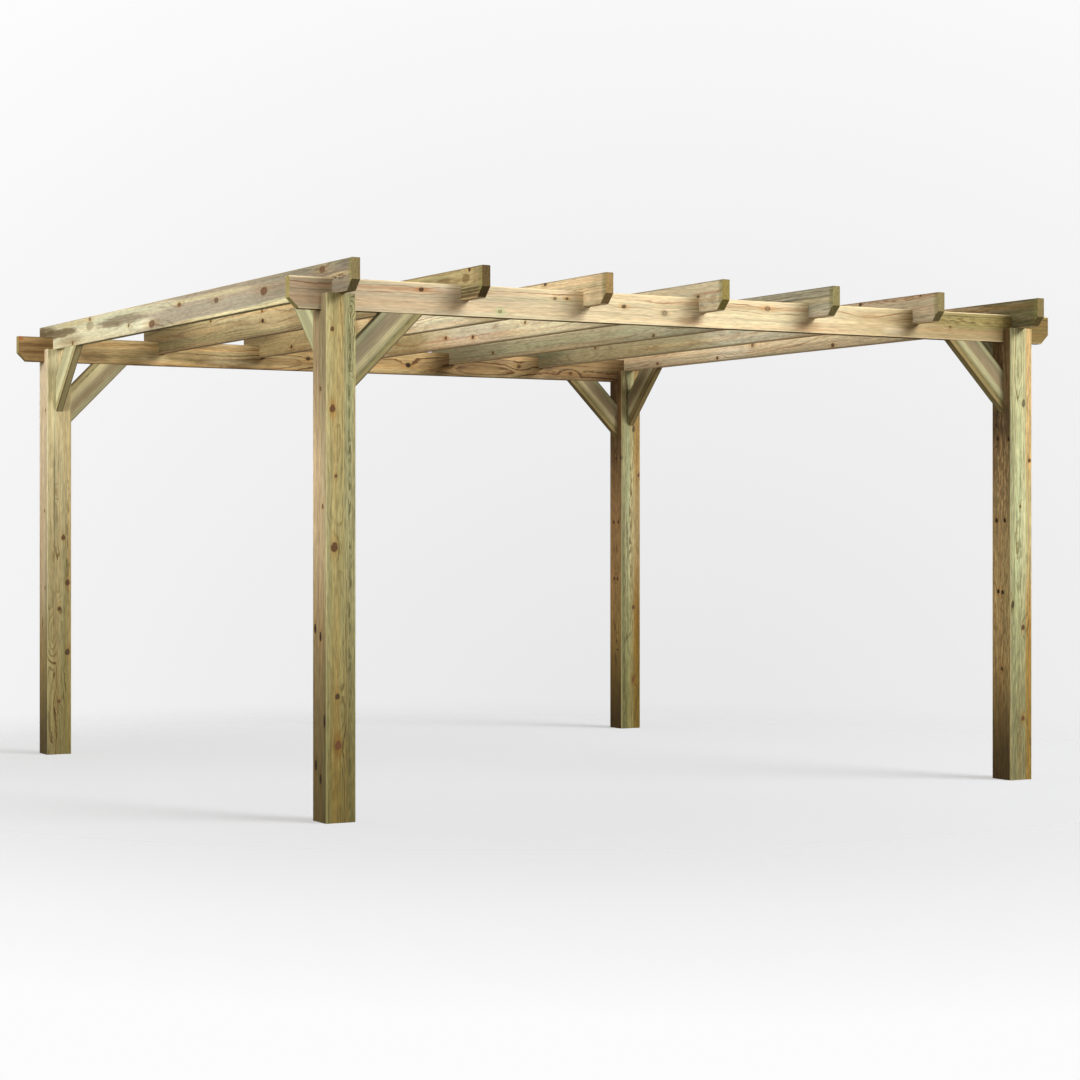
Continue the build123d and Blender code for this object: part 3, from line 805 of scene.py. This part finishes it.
        front_face(550, -42, 600, 18, "#816d38", 0.45, 0.6, 0.4))),
    "front_right_post": look(
        "#bab88b", 13.0, pith=(10, 0), ring=5, bend=60, contrast=1.1, coarse=1.0, arris=0.2,
        arris_tone="#c9c68e",
        knots=(knot(1627, -14, 10, 0.0, 0.8, 0.2, stretch=1.7), knot(1379, -46, 8, 0.9, 0.5),
        knot(1180, 5, 6, 0.8, 0.3), knot(658, -11, 10, 0.9, 0.5), knot(265, -11, 10, 0.9, 0.2, 1.0),
        knot(758, 46, 8, 0.1, 0.9, stretch=2), knot(1475, -22, 9, 0.1, 1.0, side=True),
        knot(1470, 50, 9, 0.1, 1.0, side=True), knot(1120, -30, 9, 0.1, 1.0, swell=24, side=True),
        knot(1120, 24, 9, 0.1, 1.0, swell=24, side=True), knot(813, -19, 9, 0.1, 1.0, side=True),
        knot(809, 10, 9, 0.1, 1.0, side=True), knot(478, 5, 8, 0.1, 0.9, side=True)),
        patches=(patch(1000, -46, 3000, 20, "#d1ad76", 0.9, 0.2, 0.4),
        patch(350, -46, 900, 20, "#be8f44", 0.8, 0.5, 0.4), left_face(1000, 3000, "#987f56", 0.95),
        # Painted shadow over the top of the left face, and painted light on it at 650, where the light falls
        # off
        left_face(1800, 640, "#5c472a", 0.75, 0.7), left_face(650, 420, "#c6a875", 0.7, 0.6),
        left_face(1280, 300, "#d8b47c", 0.6, 0.6, 0.5, broken=1.0, z=5, wide=50),
        left_face(700, 420, "#6d5230", 0.5, 0.5, 0.5, broken=1.0),
        # The foot patches are painted shade toward the ground
        front_face(1050, 0, 260, 300, "#d2d1a4", 0.5, 0.7), painted_foot_shade(700, 0.62), painted_left_foot_shade(330, 0.84),
        patch(1100, 2, 420, 7, "#6a5836", 0.5, 0.4, 0.5, broken=1.0),
        patch(300, 42, 700, 7, "#4d4b2b", 0.6, 0.4, 0.5, broken=1.0),
        front_face(150, 44, 250, 22, "#5c5734", 0.55, 0.6),
        front_face(800, 54, 1100, 24, "#8d8a64", 0.75, 0.5, 0.4), left_face(1550, 90, "#33271a", 0.55, 0.7),
        left_face(1860, 80, "#8d7650", 0.5, 0.6))),
    "rear_right_post": look(
        "#9c9c74", 14.0, pith=(10, 0), ring=5, bend=60, contrast=1.2, coarse=0.9, arris=0.2,
        arris_tone="#c9c68e",
        knots=(knot(1633, -18, 10, 0.0, 0.8, 0.2, stretch=1.7), knot(1380, -50, 8, 0.9, 0.5),
        knot(660, -16, 10, 0.9, 0.5), knot(267, -16, 10, 0.9, 0.2, 1.0),
        knot(1471, 6, 9, 0.1, 1.0, side=True), knot(1474, 55, 9, 0.1, 1.0, side=True),
        knot(1124, -20, 9, 0.1, 1.0, swell=24, side=True), knot(1124, 28, 9, 0.1, 1.0, swell=24, side=True),
        knot(816, -13, 9, 0.1, 1.0, side=True), knot(815, 17, 9, 0.1, 1.0, side=True),
        knot(475, 11, 8, 0.1, 0.9, side=True)),
        patches=(patch(1000, -43, 3000, 24, "#a0793c", 0.95, 0.2, 0.4),
        patch(250, -43, 800, 24, "#8a5e1d", 0.8, 0.5, 0.4), left_face(1000, 3000, "#7d5f3c", 0.95),
        # Painted light on the left face at 750, where the light falls off
        left_face(750, 430, "#9c784e", 0.8, 0.6),
        left_face(1280, 300, "#aa8150", 0.6, 0.6, 0.5, broken=1.0, z=5, wide=50),
        left_face(700, 420, "#5b4326", 0.5, 0.5, 0.5, broken=1.0),
        front_face(1100, 0, 330, 300, "#a9a682", 0.45, 0.8),
        # The foot patches are painted shade toward the ground
        front_face(1850, 0, 260, 300, "#86805c", 0.5, 0.8), painted_foot_shade(700, 0.75), painted_left_foot_shade(330, 0.95),
        patch(1100, 2, 420, 9, "#5b4b2d", 0.8, 0.4, 0.5, broken=1.0),
        patch(300, 42, 700, 9, "#444224", 0.8, 0.4, 0.5, broken=1.0),
        front_face(150, 44, 250, 22, "#4f4a28", 0.55, 0.6),
        front_face(850, 54, 850, 24, "#5f5b3b", 0.75, 0.5, 0.4),
        front_face(1860, 44, 120, 20, "#b0aa80", 0.7, 0.5), left_face(1550, 90, "#33271a", 0.4, 0.7))),
}

# The treatment has drawn green into the last inch of every rafter's front tail
TAIL_GREEN = patch(1800, 0, 24, 300, "#7c7845", 0.65, 0.5, 0.3)
for name, timber in LOOKS.items():
    if name.startswith("rafter_"):
        timber["patches"] += (TAIL_GREEN,)

# The braces are cut from one board: green-grey, with lengthwise bands and a tan strip along one edge.
# Each has its own base colour, its tan edge above (1) or below (-1), and its share of mauve
BRACES = {
    "rear_left_beam_brace": ("#cec596", 1, 0.6),
    "front_left_beam_brace": ("#8c8763", -1, 0.6),
    "front_right_beam_brace": ("#867e56", -1, 0.6),
    "rear_right_beam_brace": ("#857850", -1, 0.6),
    "rear_left_rafter_brace": ("#afaa82", -1, 0.3),
    "front_left_rafter_brace": ("#96956f", 1, 0.15),
    "front_right_rafter_brace": ("#908b64", -1, 0.6),
    "rear_right_rafter_brace": ("#8c7c54", -1, 0.6),
}
for number, (name, (tone, tan_edge, mauve)) in enumerate(BRACES.items()):
    LOOKS[name] = look(
        tone, 21.0 + number, pith=(-110, -50), ring=8, bend=20, contrast=0.5, banding=0.35, coarse=0.4,
        # The default dark arris_tone paints shade along the brace's arrises
        arris=0.75,
        patches=(patch(0, -18 * tan_edge, 3000, 25, "#85745f", mauve, 0.6, 0.2),
        patch(0, 16 * tan_edge, 3000, 12, "#c6c098", 0.5, 0.7, 0.2),
        patch(0, -52 * tan_edge, 3000, 9, "#9ca07e", 0.5, 0.5, 0.2),
        patch(0, 56 * tan_edge, 3000, 16, "#8c7c4c", 0.6, 0.3, 0.4),
        patch(0, 40 * tan_edge, 3000, 4, "#64562f", 0.7, 0.5, 0.5, broken=0.5)))


place_camera()
make_world()
light_the_scene(make_floor())
for name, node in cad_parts.items():
    node.data.materials.clear()
    node.data.materials.append(treated_pine(name, LOOKS[name]))

bpy.context.scene.view_settings.view_transform = "Standard"
